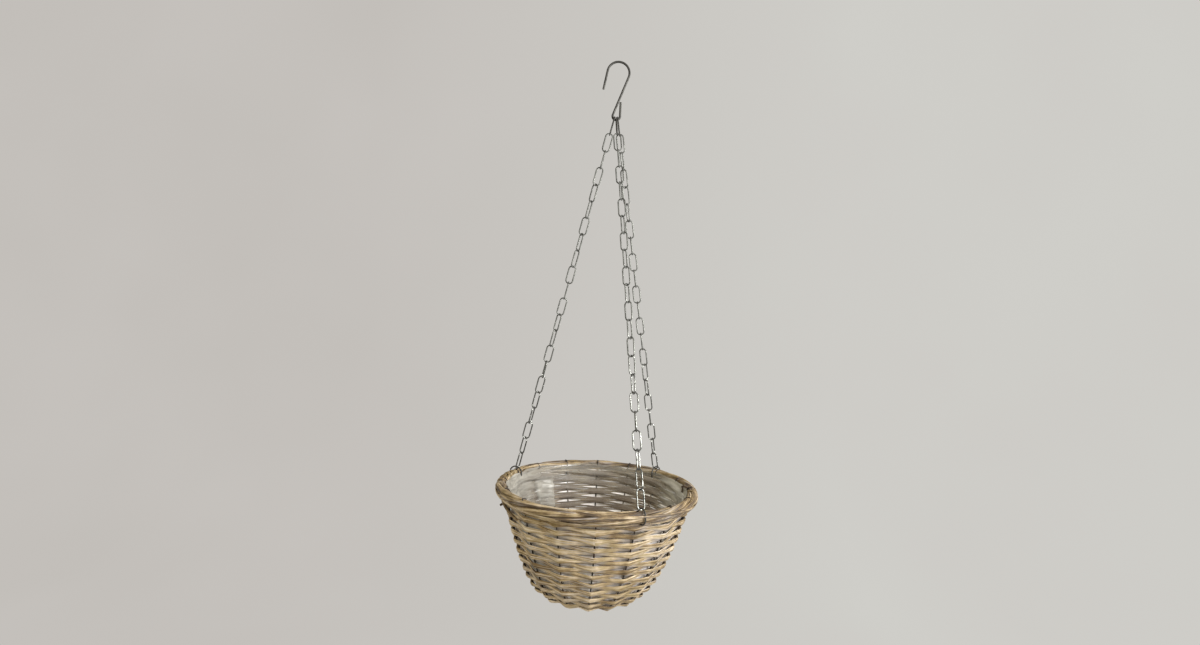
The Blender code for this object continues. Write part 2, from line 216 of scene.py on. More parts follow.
# Rim: rods, packing (down, in) and strips over the rods (start, end, turns, first turn, width, tone)
ROD_FLATNESS = 1.25
ROD_WANDER = 0.0004
ROD_WANDER_DEGREES = 15
ROD_TAPER_SHARE = 0.14
ROD_RIDGE_SHARE = 0.16
ROD_RIPPLE_SHARE = 0.08
ROD_TONES = (0.58, 0.28, 0.48, 0.22)
ROD_DRIFT_TONE = 0.18
# Painted shade that darkens the rim at the back
BACK_SHADE = 0.08
PACKING_DIAMETER = 0.0042
PACKING_PLACES = ((0.0066, 0.0066), (0.009, 0.0028))
PACKING_TONES = (0.3, 0.5)
PACKING_DRIFT_TONE = 0.15
# Painted shade on the packing under the rim
PACKING_INNER_SHADE = 0.5
STRIP_THICKNESS = 0.0016
STRIP_SINK = 0.0002
STRIP_TIP_SHARE = 0.06
STRIP_TIP_WIDTH_SHARE = 0.25
RIM_STRIPS = [
    (205, 330, 1.2, 20, 0.0034, 0.75),
    (255, 392, -1, 60, 0.0034, 0.3),
    (20, 150, 1.6, 100, 0.0034, 0.6),
    (70, 146, -1.4, 200, 0.003, 0.25),
    (100, 152, -0.6, 150, 0.0036, 0.8),
    (160, 191, 26, 40, 0.0038, 0.5),
    (162, 193, 26, 120, 0.0034, 0.28),
    (159, 189, 26, 215, 0.004, 0.62),
    (161, 192, 26, 300, 0.0034, 0.36),
    (184, 252, -0.5, -24, 0.0046, 0.82),
    (350, 372, 14, 60, 0.0036, 0.45),
    # Narrow dark strips: painted shade in the gaps between the strands
    (160, 190, 26, 80, 0.0022, 0.05),
    (163, 192, 26, 170, 0.002, 0.1),
    (160, 188, 26, 258, 0.0022, 0.02),
    (186, 262, 0.4, 20, 0.002, 0.05),
]

# Rim: strips under it (start, end), and loose ends (angle, out, up) with their widths and tones
UNDER_STRIPS = ((161, 290), (300, 402), (52, 151))
UNDER_ORBIT = 0.0086
UNDER_TURN = -93
UNDER_WIDTH = 0.004
UNDER_THICKNESS = 0.0034
UNDER_TONE = 0.5
LOOSE_TAPER_SHARE = 0.25
LOOSE_DRIFT_TONE = 0.1
LOOSE_DRIFT_RATE = 5
LOOSE_ENDS = [
    (((188, -0.0095, -0.019), (188, -0.0055, -0.0215), (188, -0.0015, -0.024)), 0.0038, -0.1),
    (((187, -0.002, -0.0075), (198, -0.001, -0.0105), (210, -0.0005, -0.014), (222, -0.001, -0.02)),
     0.0042, 0.42),
    (((3, -0.0045, 0.0045), (5, -0.0085, 0.0055), (7, -0.0105, 0.0035)), 0.0036, 0.1),
    (((11, -0.004, 0.0035), (8, -0.0085, 0.0015), (6, -0.0105, -0.003)), 0.003, 0),
    (((352, 0.0045, -0.008), (349, 0.001, -0.01), (346, -0.004, -0.01)), 0.0034, 0.05),
]

# Film: how far it sinks between the rods, folds and rises behind the rim
FILM_PLAY = 0.0003
FILM_DIP = 0.0028
DIP_SHARES = (-0.5, 0.9)
FOLDED_DIP_SHARE = 0.75
FILM_FOLD = 0.001
FOLD_CHANGE = 7
LEFT_FOLD_GAIN = 2.2
FILM_RISE = 0.0132
RISE_INWARD_SHARE = 0.6
RIM_FOLD_SHARE = 0.6
HEM_WAVE_SHARE = 0.15
HEM_LENGTH = 0.004
PANEL_THICKNESS = 0.0008
FILM_TAUT_SHARE = 0.6
FLOOR_INSET = 0.01
FLOOR_FOLD_SHARE = 0.3
FLOOR_MIDDLE_SHARE = 0.2

# Stretches of the rim and film, in degrees (middle, far, close), and of the film up the wall, in shares
BACK_STRETCH = (90, 75, 45)
LEFT_STRETCH = (193, 66, 24)
PANEL_STRETCH = (132.5, 8.4, 7.6)
RIGHT_STRETCH = (8, 34, 14)
PANEL_FOOT_SHARES = (0.25, 0.4)
PANEL_HEAD_SHARES = (1, 0.93)
RIGHT_FOOT_SHARES = (0.4, 0.6)
UPPER_SHARES = (0.72, 0.95)

# Film: haze of each stretch, and painted light over the openings of the weave: bright slits where light shows
# through
CLEAR_HAZE = 0.08
LEFT_HAZE = 0.52
PANEL_HAZE = 0.45
UPPER_HAZE = 0.16
RIGHT_HAZE = 0.56
HEM_HAZE = 0.08
FLOOR_HAZE = 0.2
SLIT_HEIGHT_SHARE = 0.38
SLIT_SIDE_SHARE = 0.7
SLIT_SIZE_SHARES = (0.6, 1.1)
SLIT_LEFT_SHARE = 0.85
SLIT_UPPER_SHARE = 0.7
SLIT_EDGE = 0.44

# Materials: how closely their patterns repeat, and how deep their relief is
BAND_SCALE = (20, 520, 1)
GRAIN_SCALE = (50, 1000, 1)
FIBRE_SCALE = (160, 3600, 1)
FILM_SCALE = (1, 1, 0.5)
CREASE_SCALE = (26, 26, 150)
WILLOW_RELIEF = 0.0007
STEEL_RELIEF = 0.0001
RUST_RELIEF = 0.0003
CREASE_RELIEF = 0.0016

# Heights between which the chains' steel turns dull
SHINY_BELOW = -0.4
DULL_ABOVE = -0.28

# Camera, stage and world
CAMERA_PLACE = (-0.0072, -0.8698, -0.3092)
CAMERA_DOWN_DEGREES = 1.65
CAMERA_ROLL_DEGREES = 2.95
SENSOR_MM = 36
LENS_MM = 20.10
FLOOR_Z = -1.35
BACKDROP_Y = 2
SWEEP_RADIUS = 0.7
STAGE_FRONT_Y = -3.2
STAGE_HALF_WIDTH = 4
STAGE_TOP_Z = 2.4
STAGE_BLEND_X = 1
WORLD_STRENGTH = 0.52

# Lamps: name, place, size, power, colour, and whether they light matt surfaces and show in glossy ones
LAMP_TARGET = (0, 0, -0.55)
LAMPS = [
    ("key", (1.45, -1, 0), (1.4, 1.2), 31, (1, 0.995, 1.09), True, False),
    ("high", (0.8, -0.9, 1), (1.2, 1), 20, (1, 0.99, 0.98), True, False),
    ("fill", (-1.6, -1.2, 0.1), (1.4, 1.4), 7, (1, 0.94, 0.73), True, True),
    ("glint", (1.38, -0.86, -0.18), (0.9, 0.4), 90, (1, 1, 0.96), False, True),
]


# Screen colours, 0 to 255, those of the willow by their place on its scale of tones
WILLOW_COLOURS = [
    (0, (66, 50, 32)),
    (0.2, (116, 94, 60)),
    (0.42, (162, 140, 98)),
    (0.64, (200, 180, 141)),
    (0.84, (228, 211, 180)),
    (1, (240, 228, 200)),
]
OLIVE = (150, 132, 84)
PALE_GREY = (198, 190, 180)
# Brown-grey of the painted shade on inner faces
INNER_SHADE_BROWN = (98, 86, 77)
OLD_GREY = (138, 126, 112)
CRACK_BROWN = (72, 55, 38)
ZINC_PALE = (122, 123, 120)
ZINC_DARK = (88, 89, 86)
# Dull steel of the hook and the rings, also painted shade on the top links
DULL_AND_SHADED_PALE = (68, 67, 63)
DULL_AND_SHADED_DARK = (48, 47, 44)
WIRE_BLACK = (38, 34, 32)
RUST_BROWN = (74, 56, 42)
FILM_GREY = (188, 185, 172)
# White of the painted light over the slits of the weave
SLIT_LIGHT_WHITE = (250, 246, 240)
# Backdrop colours, painted lighter to the right as painted light
BACKDROP_LEFT = (194, 190, 185)
BACKDROP_RIGHT = (207, 206, 201)
BACKDROP_CLOUD = (203, 199, 195)
WORLD_COLOUR = (240, 231, 216)

# Sockets of the node that mixes two colours
MIX_SHARE = 0
MIX_FIRST = 6
MIX_SECOND = 7
MIX_RESULT = 2


def linear(colour):
    """Linear colour and full alpha, as a socket takes them, of a screen colour."""
    shares = [level / 255 for level in colour]
    return (*(s / 12.92 if s <= 0.04045 else ((s + 0.055) / 1.055) ** 2.4 for s in shares), 1)


class Nodes:
    """Short calls to lay out the nodes of one material."""

    def __init__(self, name):
        self.material = bpy.data.materials.new(name)
        self.material.use_nodes = True
        self.tree = self.material.node_tree
        self.shader = self.tree.nodes["Principled BSDF"]
        self.output = self.tree.nodes["Material Output"]

    def add(self, kind, **settings):
        node = self.tree.nodes.new("ShaderNode" + kind)
        for key, value in settings.items():
            setattr(node, key, value)
        return node

    def link(self, source, target):
        self.tree.links.new(source, target)

    def put(self, socket, value):
        if isinstance(value, bpy.types.NodeSocket):
            self.link(value, socket)
        else:
            socket.default_value = value

    def put_colour(self, socket, colour):
        self.put(socket, colour if isinstance(colour, bpy.types.NodeSocket) else linear(colour))

    def fill(self, node, **values):
        for key, value in values.items():
            self.put(node.inputs[key.replace("_", " ")], value)

    def coordinates(self, kind="Object", scale=(1, 1, 1)):
        source = self.add("TexCoord").outputs[kind]
        mapping = self.add("Mapping")
        self.fill(mapping, Vector=source, Scale=scale)
        return mapping.outputs["Vector"]

    def noise(self, vector, scale, detail, roughness, distortion=0):
        node = self.add("TexNoise")
        self.fill(node, Vector=vector, Scale=scale, Detail=detail, Roughness=roughness, Distortion=distortion)
        return node.outputs["Fac"]

    def math(self, operation, first, second, clamp=False):
        node = self.add("Math", operation=operation, use_clamp=clamp)
        self.put(node.inputs[0], first)
        self.put(node.inputs[1], second)
        return node.outputs["Value"]

    def fit(self, value, low, high, to_low=0, to_high=1):
        node = self.add("MapRange")
        self.fill(node, Value=value, From_Min=low, From_Max=high, To_Min=to_low, To_Max=to_high)
        return node.outputs["Result"]

    def ramp(self, value, stops):
        node = self.add("ValToRGB")
        elements = node.color_ramp.elements
        while len(elements) < len(stops):
            elements.new(0.5)
        for element, (place, colour) in zip(elements, stops):
            element.position = place
            element.color = linear(colour)
        self.fill(node, Fac=value)
        return node.outputs["Color"]

    def mix(self, share, first, second):
        node = self.add("Mix", data_type="RGBA")
        self.put(node.inputs[MIX_SHARE], share)
        self.put_colour(node.inputs[MIX_FIRST], first)
        self.put_colour(node.inputs[MIX_SECOND], second)
        return node.outputs[MIX_RESULT]

    def attribute(self, name):
        return self.add("Attribute", attribute_name=name).outputs["Color"]

    def split(self, colour):
        node = self.add("SeparateColor")
        self.fill(node, Color=colour)
        return node.outputs

    def bump(self, height, strength, distance):
        node = self.add("Bump")
        self.fill(node, Height=height, Strength=strength, Distance=distance)
        self.set(Normal=node.outputs["Normal"])

    def set(self, **values):
        self.fill(self.shader, **values)


def willow_material(name, shift, grey_share):
    """Split willow: straw to olive along the grain, with grey-lilac patches and dark cracks."""
    nodes = Nodes(name)
    tone, inner, recess = nodes.split(nodes.attribute("tone"))[:3]
    band = nodes.coordinates("UV", BAND_SCALE)
    grain = nodes.coordinates("UV", GRAIN_SCALE)
    fibre = nodes.coordinates("UV", FIBRE_SCALE)
    place = nodes.coordinates()
    stripe = nodes.noise(band, 1, 3, 0.6, 0.5)
    streak = nodes.noise(grain, 1, 4, 0.6, 0.6)
    thread = nodes.noise(fibre, 1, 3, 0.6)
    cloud = nodes.noise(place, 75, 3, 0.6)
    broad = nodes.noise(place, 26, 2, 0.5)
    olive = nodes.noise(place, 38, 2, 0.5)
    lilac = nodes.noise(band, 0.9, 3, 0.6, 0.8)
    crack = nodes.noise(band, 1.9, 3, 0.7, 0.3)
    amount = tone
    for source, low, high, reach in (
            (streak, 0.36, 0.64, 0.16),
            (stripe, 0.36, 0.64, 0.26),
            (cloud, 0.34, 0.66, 0.14),
            (thread, 0.3, 0.7, 0.06)):
        amount = nodes.math("ADD", amount, nodes.fit(source, low, high, -reach, reach))
    amount = nodes.math("ADD", amount, shift, clamp=True)
    colour = nodes.ramp(amount, WILLOW_COLOURS)
    colour = nodes.mix(nodes.fit(olive, 0.5, 0.68, 0, 0.4), colour, OLIVE)
    lilac = nodes.math("MULTIPLY", nodes.fit(lilac, 0.52, 0.62), nodes.fit(broad, 0.4, 0.56))
    # Pale grey: grey-lilac patches at random, and painted light that lifts the shade of the recesses behind
    # the ribs
    grey = nodes.math("MAXIMUM", nodes.math("MULTIPLY", lilac, 0.7), nodes.math("MULTIPLY", recess, 0.88))
    colour = nodes.mix(grey, colour, PALE_GREY)
    # Painted shade: brown-grey on the inner faces, where the inside of the basket lies in shade
    colour = nodes.mix(nodes.math("MULTIPLY", inner, 0.85), colour, INNER_SHADE_BROWN)
    colour = nodes.mix(grey_share, colour, OLD_GREY)
    crack = nodes.fit(crack, 0.64, 0.72)
    colour = nodes.mix(nodes.math("MULTIPLY", crack, 0.62), colour, CRACK_BROWN)
    height = nodes.math("ADD", streak, nodes.math("MULTIPLY", thread, 0.4))
    height = nodes.math("SUBTRACT", height, nodes.math("MULTIPLY", crack, 0.8))
    nodes.set(Base_Color=colour, Roughness=nodes.fit(streak, 0.3, 0.7, 0.7, 0.5), Specular_IOR_Level=0.3)
    nodes.bump(height, strength=0.6, distance=WILLOW_RELIEF)
    return nodes.material


def steel_material(name, pale, dark, metallic, low_roughness, high_roughness):
    """Galvanised wire: soft zinc clouds, duller where it is darker and up the chains."""
    nodes = Nodes(name)
    place = nodes.coordinates()
    cloud = nodes.noise(place, 90, 3, 0.6)
    spangle = nodes.noise(place, 420, 2, 0.5)
    amount = nodes.math("ADD", nodes.math("MULTIPLY", spangle, 0.3), nodes.math("MULTIPLY", cloud, 0.7))
    colour = nodes.mix(nodes.fit(amount, 0.38, 0.62), dark, pale)
    rough = nodes.fit(nodes.split(place)[2], SHINY_BELOW, DULL_ABOVE, low_roughness, high_roughness)
    rough = nodes.math("ADD", rough, nodes.fit(amount, 0.38, 0.62, 0.04, -0.04))
    nodes.set(Base_Color=colour, Roughness=rough, Metallic=metallic)
    nodes.bump(spangle, strength=0.03, distance=STEEL_RELIEF)
    return nodes.material


def wire_material(name):
    """Dark rib wire, nearly black, with brown rust blooms."""
    nodes = Nodes(name)
    place = nodes.coordinates()
    bloom = nodes.noise(place, 160, 4, 0.65)
    colour = nodes.mix(nodes.fit(bloom, 0.45, 0.65), WIRE_BLACK, RUST_BROWN)
    nodes.set(Base_Color=colour, Roughness=nodes.fit(bloom, 0.35, 0.65, 0.4, 0.75), Metallic=0.5)
    nodes.bump(bloom, strength=0.3, distance=RUST_RELIEF)
    return nodes.material


def film_material(name):
    """Clear polythene: hazy where the tone says that it is folded, with painted light over the slits of the
    weave, where light shows through.
    """
    nodes = Nodes(name)
    haze, slit = nodes.split(nodes.attribute("tone"))[:2]
    around = nodes.split(nodes.coordinates("UV", (RIB_COUNT, 1, 1)))[0]
    beside_rib = nodes.fit(nodes.math("PINGPONG", around, 0.5), 0.018, 0.032)
    # Painted light: the slits of the weave are made bright white and more opaque
    glint = nodes.math("MULTIPLY", nodes.fit(slit, 0.45, 0.53), beside_rib)
    haze = nodes.math("ADD", haze, nodes.math("MULTIPLY", glint, 0.72))
    crease = nodes.noise(nodes.coordinates(scale=CREASE_SCALE), 1, 3, 0.6, 1.2)
    cloud = nodes.noise(nodes.coordinates(scale=FILM_SCALE), 34, 2, 0.5)
    alpha = nodes.math("MULTIPLY", haze, nodes.fit(crease, 0.34, 0.62, 0.7, 1.25))
    alpha = nodes.math("ADD", alpha, nodes.fit(cloud, 0.35, 0.7, -0.06, 0.12), clamp=True)
    nodes.set(Base_Color=nodes.mix(glint, FILM_GREY, SLIT_LIGHT_WHITE), Alpha=alpha)
    nodes.set(Roughness=0.3, IOR=1.5, Specular_IOR_Level=0.25)
    nodes.set(Coat_Weight=0.05, Coat_Roughness=0.16)
    nodes.bump(crease, strength=0.7, distance=CREASE_RELIEF)
    return nodes.material


def radial(degrees):
    angle = math.radians(degrees)
    return Vector((math.cos(angle), math.sin(angle), 0))


def angles_round(count):
    """COUNT even angles round the basket, from the front rib on."""
    return [FRONT_RIB_DEGREES + 360 * i / count for i in range(count)]


def wall_arc(run):
    """Length of the wall's curve from the base's edge to RUN further out."""
    slope = 2 * BOWL * run
    return run / 2 * math.sqrt(1 + slope ** 2) + math.asinh(slope) / (4 * BOWL)


# Wall's curve as a table from length to run, and the pitch of its courses
RUN_TABLE = [WALL_RUN * TABLE_REACH_SHARE * i / TABLE_STEPS for i in range(TABLE_STEPS + 1)]
ARC_TABLE = [wall_arc(run) for run in RUN_TABLE]
WALL_LENGTH = wall_arc(WALL_RUN)
COURSE_PITCH = WALL_LENGTH / COURSE_COUNT


def wall_point(length, offset):
    """Radius and z at LENGTH along the wall from the base's edge, OFFSET outwards from it."""
    if length < 0:
        return BASE_RADIUS + length, BASE_Z - offset
    run = float(np.interp(length, ARC_TABLE, RUN_TABLE))
    slope = 2 * BOWL * run
    unit = offset / math.sqrt(1 + slope ** 2)
    return BASE_RADIUS + run + unit * slope, BASE_Z + BOWL * run ** 2 - unit


def smooth(low, high, value):
    """0 up to LOW and 1 from HIGH on, with a soft step between them."""
    share = min(max((value - low) / (high - low), 0), 1)
    return share * share * (3 - 2 * share)


def near(degrees, middle, far, close):
    """1 within CLOSE degrees of the angle MIDDLE, and 0 from FAR degrees on."""
    return smooth(far, close, abs((degrees - middle + 180) % 360 - 180))


def wave(degrees, seed, ripples):
    """Smooth noise round the basket, from about -1 to 1, that meets itself, another one for each SEED."""
    spot = radial(degrees) * ripples
    return noise.noise(Vector((spot.x, spot.y, seed * WAVE_SEED_STEP)))


def squarer(value, power):
    """Sine or cosine VALUE that makes an ellipse squarer, the more so the smaller POWER is."""
    return math.copysign(abs(value) ** power, value)


def draw_ridges(chance, count):
    """Heights of the ridges along a split rod, one for each side of its section."""
    return [chance.uniform(-0.5, 0.5) for _ in range(count)]


def add_object(name, data):
    item = bpy.data.objects.new(name, data)
    bpy.context.scene.collection.objects.link(item)
    return item


def add_piece(name, skins, material, replaced=(), body="basket"):
    """Piece made of SKINS that rides on a body and replaces solids of the part."""
    mesh = join_skins(name, skins)
    mesh.materials.append(material)
    item = add_object(name, mesh)
    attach(item, body)
    if replaced:
        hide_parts(*replaced)
    return item


def skin(sections, closed, tones):
    """Vertices, faces, UVs and tones of a skin through SECTIONS, each a loop of points."""
    count, sides = len(sections), len(sections[0])
    points = np.array([[tuple(point) for point in section] for section in sections])
    centres = points.mean(axis=1)
    steps = np.linalg.norm(np.roll(centres, -1, axis=0) - centres, axis=1)
    along = np.concatenate([[0], np.cumsum(steps)])
    edges = np.linalg.norm(np.roll(points, -1, axis=1) - points, axis=2).mean(axis=0)
    around = np.concatenate([[0], np.cumsum(edges)])
    faces, uvs = [], []
    for i in range(count if closed else count - 1):
        n = (i + 1) % count
        for j in range(sides):
            k = (j + 1) % sides
            faces.append((i * sides + j, i * sides + k, n * sides + k, n * sides + j))
            uvs += [(along[i], around[j]), (along[i], around[j + 1]),
                    (along[i + 1], around[j + 1]), (along[i + 1], around[j])]
    if not closed:
        for end, order in ((0, -1), (count - 1, 1)):
            faces.append(tuple(end * sides + j for j in range(sides))[::order])
            uvs += [(x - centres[end][0], z - centres[end][2]) for x, _, z in points[end][::order]]
    tones = np.array(tones, float)
    if tones.ndim == 2:
        tones = np.repeat(tones[:, None], sides, axis=1)
    return points.reshape(-1, 3), faces, uvs, tones.reshape(-1, 3)


def join_skins(name, skins):
    """One mesh from several skins, with a UV map, a tone and a smooth surface."""
    points, faces, uvs, tones, base = [], [], [], [], 0
    for skin_points, skin_faces, skin_uvs, skin_tones in skins:
        points.append(skin_points)
        faces += [tuple(base + v for v in face) for face in skin_faces]
        uvs += skin_uvs
        tones.append(skin_tones)
        base += len(skin_points)
    points = np.concatenate(points)
    tones = np.concatenate(tones)
    mesh = bpy.data.meshes.new(name)
    mesh.from_pydata(points.tolist(), [], faces)
    layer = mesh.uv_layers.new(name="UVMap")
    layer.data.foreach_set("uv", np.array(uvs, np.float32).ravel())
    colours = np.ones((len(points), 4), np.float32)
    colours[:, :3] = tones
    attribute = mesh.attributes.new("tone", "FLOAT_COLOR", "POINT")
    attribute.data.foreach_set("color", colours.ravel())
    mesh.shade_smooth()
    mesh.set_sharp_from_angle(angle=math.radians(SHARP_DEGREES))
    mesh.validate()
    mesh.update()
    return mesh


def flatten(vector, direction):
    """Direction of VECTOR once its share along DIRECTION is taken out."""
    return (vector - vector.dot(direction) * direction).normalized()


def tube(path, radii, sides, closed=False, normal=None, tones=None):
    """Round skin along PATH, its sections turned as little as possible from one to the next."""
    count = len(path)
    if not isinstance(radii, list):
        radii = [radii] * count
    angles = [math.tau * j / sides for j in range(sides)]
    up = AXIS_Z
    sections = []
    for i, point in enumerate(path):
        before = path[i - 1] if closed or i else point
        after = path[(i + 1) % count] if closed or i < count - 1 else point
        along = (after - before).normalized()
        up = flatten(up if normal is None else normal, along)
        side = along.cross(up)
        sections.append([point + radii[i] * (math.cos(a) * side + math.sin(a) * up) for a in angles])
    return skin(sections, closed, tones or [PLAIN_TONE] * count)


def arc(centre, radius, start, end, steps, across, up):
    angles = [math.radians(start + (end - start) * i / steps) for i in range(steps + 1)]
    return [centre + radius * (math.cos(a) * across + math.sin(a) * up) for a in angles]


# Willow courses of the wall
def course_side(number, degrees):
    """Where course NUMBER lies at an angle: 1 outside the ribs, -1 inside them."""
    ribs = (degrees - FRONT_RIB_DEGREES) * RIB_COUNT / 360 + number - 1
    straight = 4 * abs(ribs / 2 - math.floor(ribs / 2 + 0.5)) - 1
    return STRAIGHT_SHARE * straight - (1 - STRAIGHT_SHARE) * math.cos(math.pi * ribs)


def chord_drop(degrees, radius):
    """How far a rod pulled straight from rib to rib lies inside the circle."""
    step = 360 / RIB_COUNT
    from_rib = (degrees - FRONT_RIB_DEGREES + step / 2) % step - step / 2
    chord = math.cos(math.radians(step / 2)) / math.cos(math.radians(step / 2 - abs(from_rib)))
    return CHORD_SHARE * radius * (1 - chord)


def lens_chance(number, degrees):
    """Random numbers of the outside or inside stretch that is nearest, the same at its every station."""
    ribs = (degrees - FRONT_RIB_DEGREES) * RIB_COUNT / 360
    rib = round(ribs) % RIB_COUNT
    return random.Random(number * COURSE_SEED_STEP + rib * RIB_SEED_STEP)


def basket_point(degrees, r, z):
    """Point of the basket at an angle: it swells below the rim, draws in low down and leans to the left."""
    share = min(max((WALL_TOP_Z - z) / WALL_HEIGHT, 0), 1)
    swell = (TOP_SWELL - (TOP_SWELL + LOW_DRAW) * share) * smooth(0, SWELL_START_SHARE, share)
    swell *= min(1, r / BASE_RADIUS)
    return (r + swell) * radial(degrees) + z * AXIS_Z - LEAN_LEFT * share * share * AXIS_X


def course_skin(number):
    chance = random.Random(COURSE_SEED + number)
    build = chance.uniform(*BUILD_SHARES)
    shade = chance.uniform(*COURSE_TONES)
    ridges = draw_ridges(chance, COURSE_SIDES)
    rise = TOP_COURSE_RISE if number == 1 else 0
    course_middle = WALL_LENGTH - (number - 0.5) * COURSE_PITCH + rise
    sections, tones = [], []
    for degrees in angles_round(STATIONS):
        side = course_side(number, degrees)
        lens = smooth(LENS_START_SHARE, 1, abs(side))
        stretch = lens_chance(number, degrees)
        fat, lift, turn, tint = (stretch.uniform(-1, 1) for _ in range(4))
        extra_height = LENS_EXTRA_HEIGHT * lens * (1 + LENS_PLAY_SHARE * fat)
        half_height = build * (CROSSING_HEIGHT + extra_height) / 2 + rise
        half_thickness = (CROSSING_THICKNESS + LENS_EXTRA_THICKNESS * lens) / 2
        middle = course_middle + WANDER * (wave(degrees, number + 50, 4) + LENS_PLAY_SHARE * lift * lens)
        roll = math.radians(ROLL_DEGREES) * (wave(degrees, number + 100, 3) + turn * lens)
        section = []
        for j, ridge in enumerate(ridges):
            angle = math.tau * j / COURSE_SIDES
            up = squarer(math.cos(angle), EDGE_POWER) * half_height
            out = squarer(math.sin(angle), FACE_POWER) * half_thickness
            out *= 1 + RIDGE_SHARE * ridge + RIPPLE_SHARE * wave(degrees, number * 3 + j, 5)
            rolled_up = up * math.cos(roll) - out * math.sin(roll)
            rolled_out = up * math.sin(roll) + out * math.cos(roll)
            r, z = wall_point(middle + rolled_up, COURSE_OFFSET * side + rolled_out)
            section.append(basket_point(degrees, r - chord_drop(degrees, r), z))
        sections.append(section)
        tone = shade + DRIFT_TONE * wave(degrees, number + 150, 2) + LENS_TONE * tint * lens
        tones.append([course_tone(j, tone + GRAIN_TONE * ridge, side) for j, ridge in enumerate(ridges)])
    return skin(sections, True, tones)


def course_tone(j, shade, side):
    """Tone at point J of a section: painted highlight on its upper edge and painted shade on its lower edge,
    painted shade on its inner face, pale grey painted light behind a rib.
    """
    angle = math.tau * j / COURSE_SIDES
    up, out = math.cos(angle), math.sin(angle)
    # Painted highlight on the upper edge of the section and painted shade on its lower edge
    edge = UPPER_EDGE_HIGHLIGHT * smooth(*EDGE_SHARES, up) - LOWER_EDGE_SHADE * smooth(*EDGE_SHARES, -up)
    # Painted shade on the inner face, strongest where the course lies inside the ribs
    inner = INNER_LEAST_SHARE + (1 - INNER_LEAST_SHARE) * smooth(*INSIDE_SHARES, side)
    inner *= smooth(*INNER_FACE_SHARES, out)
    # Painted light: pale grey on the outer face where the course passes inside the ribs, lifting the shade of
    # the recess
    recess = smooth(*RECESS_SHARES, side) * smooth(*RECESS_FACE_SHARES, out)
    return shade + edge, inner, recess


def add_weave(material):
    for number in range(1, COURSE_COUNT + 1):
        add_piece("weaver_%02d" % number, [course_skin(number)], material,
                  ["weave_course_%02d" % number])


# Wire ribs with their turned-over ends
def rib_skin(degrees):
    """Rib from the hub below the base up the wall to the hoop."""
    across = radial(degrees)
    path = []
    for step in range(RIB_STEPS + 1):
        length = HUB_RADIUS - BASE_RADIUS + (WALL_LENGTH + BASE_RADIUS - HUB_RADIUS) * step / RIB_STEPS
        r, z = wall_point(length, 0)
        z -= BASE_RIB_DROP * smooth(BASE_DROP_LENGTH, 0, length)
        path.append(basket_point(degrees, r, z))
    path.append(across * HOOP_RADIUS + (HOOP_Z - HOOP_WIRE) * AXIS_Z)
    return tube(path, RIB_WIRE / 2, WIRE_SIDES, normal=AXIS_Z.cross(across))


def knot_skin(number, degrees):
    """End of a rib, bent over the rim, with its tips sunk between the rods."""
    chance = random.Random(KNOT_SEED + number)
    across = radial(degrees)
    normal = AXIS_Z.cross(across)
    hoop = across * HOOP_RADIUS + HOOP_Z * AXIS_Z
    start = chance.uniform(*KNOT_START_DEGREES)
    end = chance.uniform(*KNOT_END_DEGREES)
    shift = normal * chance.uniform(-KNOT_SHIFT, KNOT_SHIFT)
    knot = arc(hoop + shift, BUNDLE_RADIUS + KNOT_LIFT, start, end, KNOT_STEPS, across, AXIS_Z)
    first, last = (hoop + (point - hoop) * KNOT_SINK_SHARE for point in (knot[0], knot[-1]))
    return tube([first, *knot, last], RIB_WIRE / 2 * KNOT_WIRE_SHARE, WIRE_SIDES, normal=normal)


def add_ribs(material):
    skins = []
    for number, degrees in enumerate(angles_round(RIB_COUNT)):
        skins += [rib_skin(degrees), knot_skin(number, degrees)]
    add_piece("rib_wires", skins, material, ["rib_cage"])


# Rods of the border
def rim_section(degrees, turn, orbit, width, thickness, ridges, seed):
    """Section of a rod on the rim: turned by TURN round the hoop, flat side to the hoop."""
    section = []
    for j, ridge in enumerate(ridges):
        angle = math.tau * j / len(ridges)
        size = 1 + ROD_RIDGE_SHARE * ridge + ROD_RIPPLE_SHARE * wave(degrees, seed + j, 6)
        along = squarer(math.sin(angle), FACE_POWER) * width / 2 * size
        out = orbit + squarer(math.cos(angle), FACE_POWER) * thickness / 2 * size
        r = HOOP_RADIUS + out * math.cos(turn) - along * math.sin(turn)
        z = HOOP_Z + out * math.sin(turn) + along * math.cos(turn)
        section.append(r * radial(degrees) + z * AXIS_Z)
    return section


def rim_strand(number, start, end, turns, first_turn, orbit, width, thickness, shade, closed):
    """Rod or strip that winds round the hoop from START to END degrees."""
    ridges = draw_ridges(random.Random(STRAND_SEED + number), ROD_SIDES)
    stations = round((end - start) * STATIONS_PER_TURN / 360)
    sections, tones = [], []
    for station in range(stations if closed else stations + 1):
        share = station / stations
        degrees = start + (end - start) * share
        turn = first_turn + turns * (degrees - start) + ROD_WANDER_DEGREES * wave(degrees, number + 20, 2)
        taper = 1 + ROD_TAPER_SHARE * wave(degrees, number + 40, 2)
        if not closed:
            tips = smooth(0, STRIP_TIP_SHARE, share) * smooth(1, 1 - STRIP_TIP_SHARE, share)
            taper *= STRIP_TIP_WIDTH_SHARE + (1 - STRIP_TIP_WIDTH_SHARE) * tips
        lift = orbit + ROD_WANDER * wave(degrees, number + 30, 3)
        sections.append(rim_section(degrees, math.radians(turn), lift, width * taper,
                                    thickness * taper, ridges, number * 20))
        tone = shade + ROD_DRIFT_TONE * wave(degrees, number + 60, 2)
        # Painted shade: the rim is darker at the back
        tone -= BACK_SHADE * near(degrees, *BACK_STRETCH)
        tones.append([(tone + GRAIN_TONE * ridge, 0, 0) for ridge in ridges])
    return skin(sections, closed, tones)


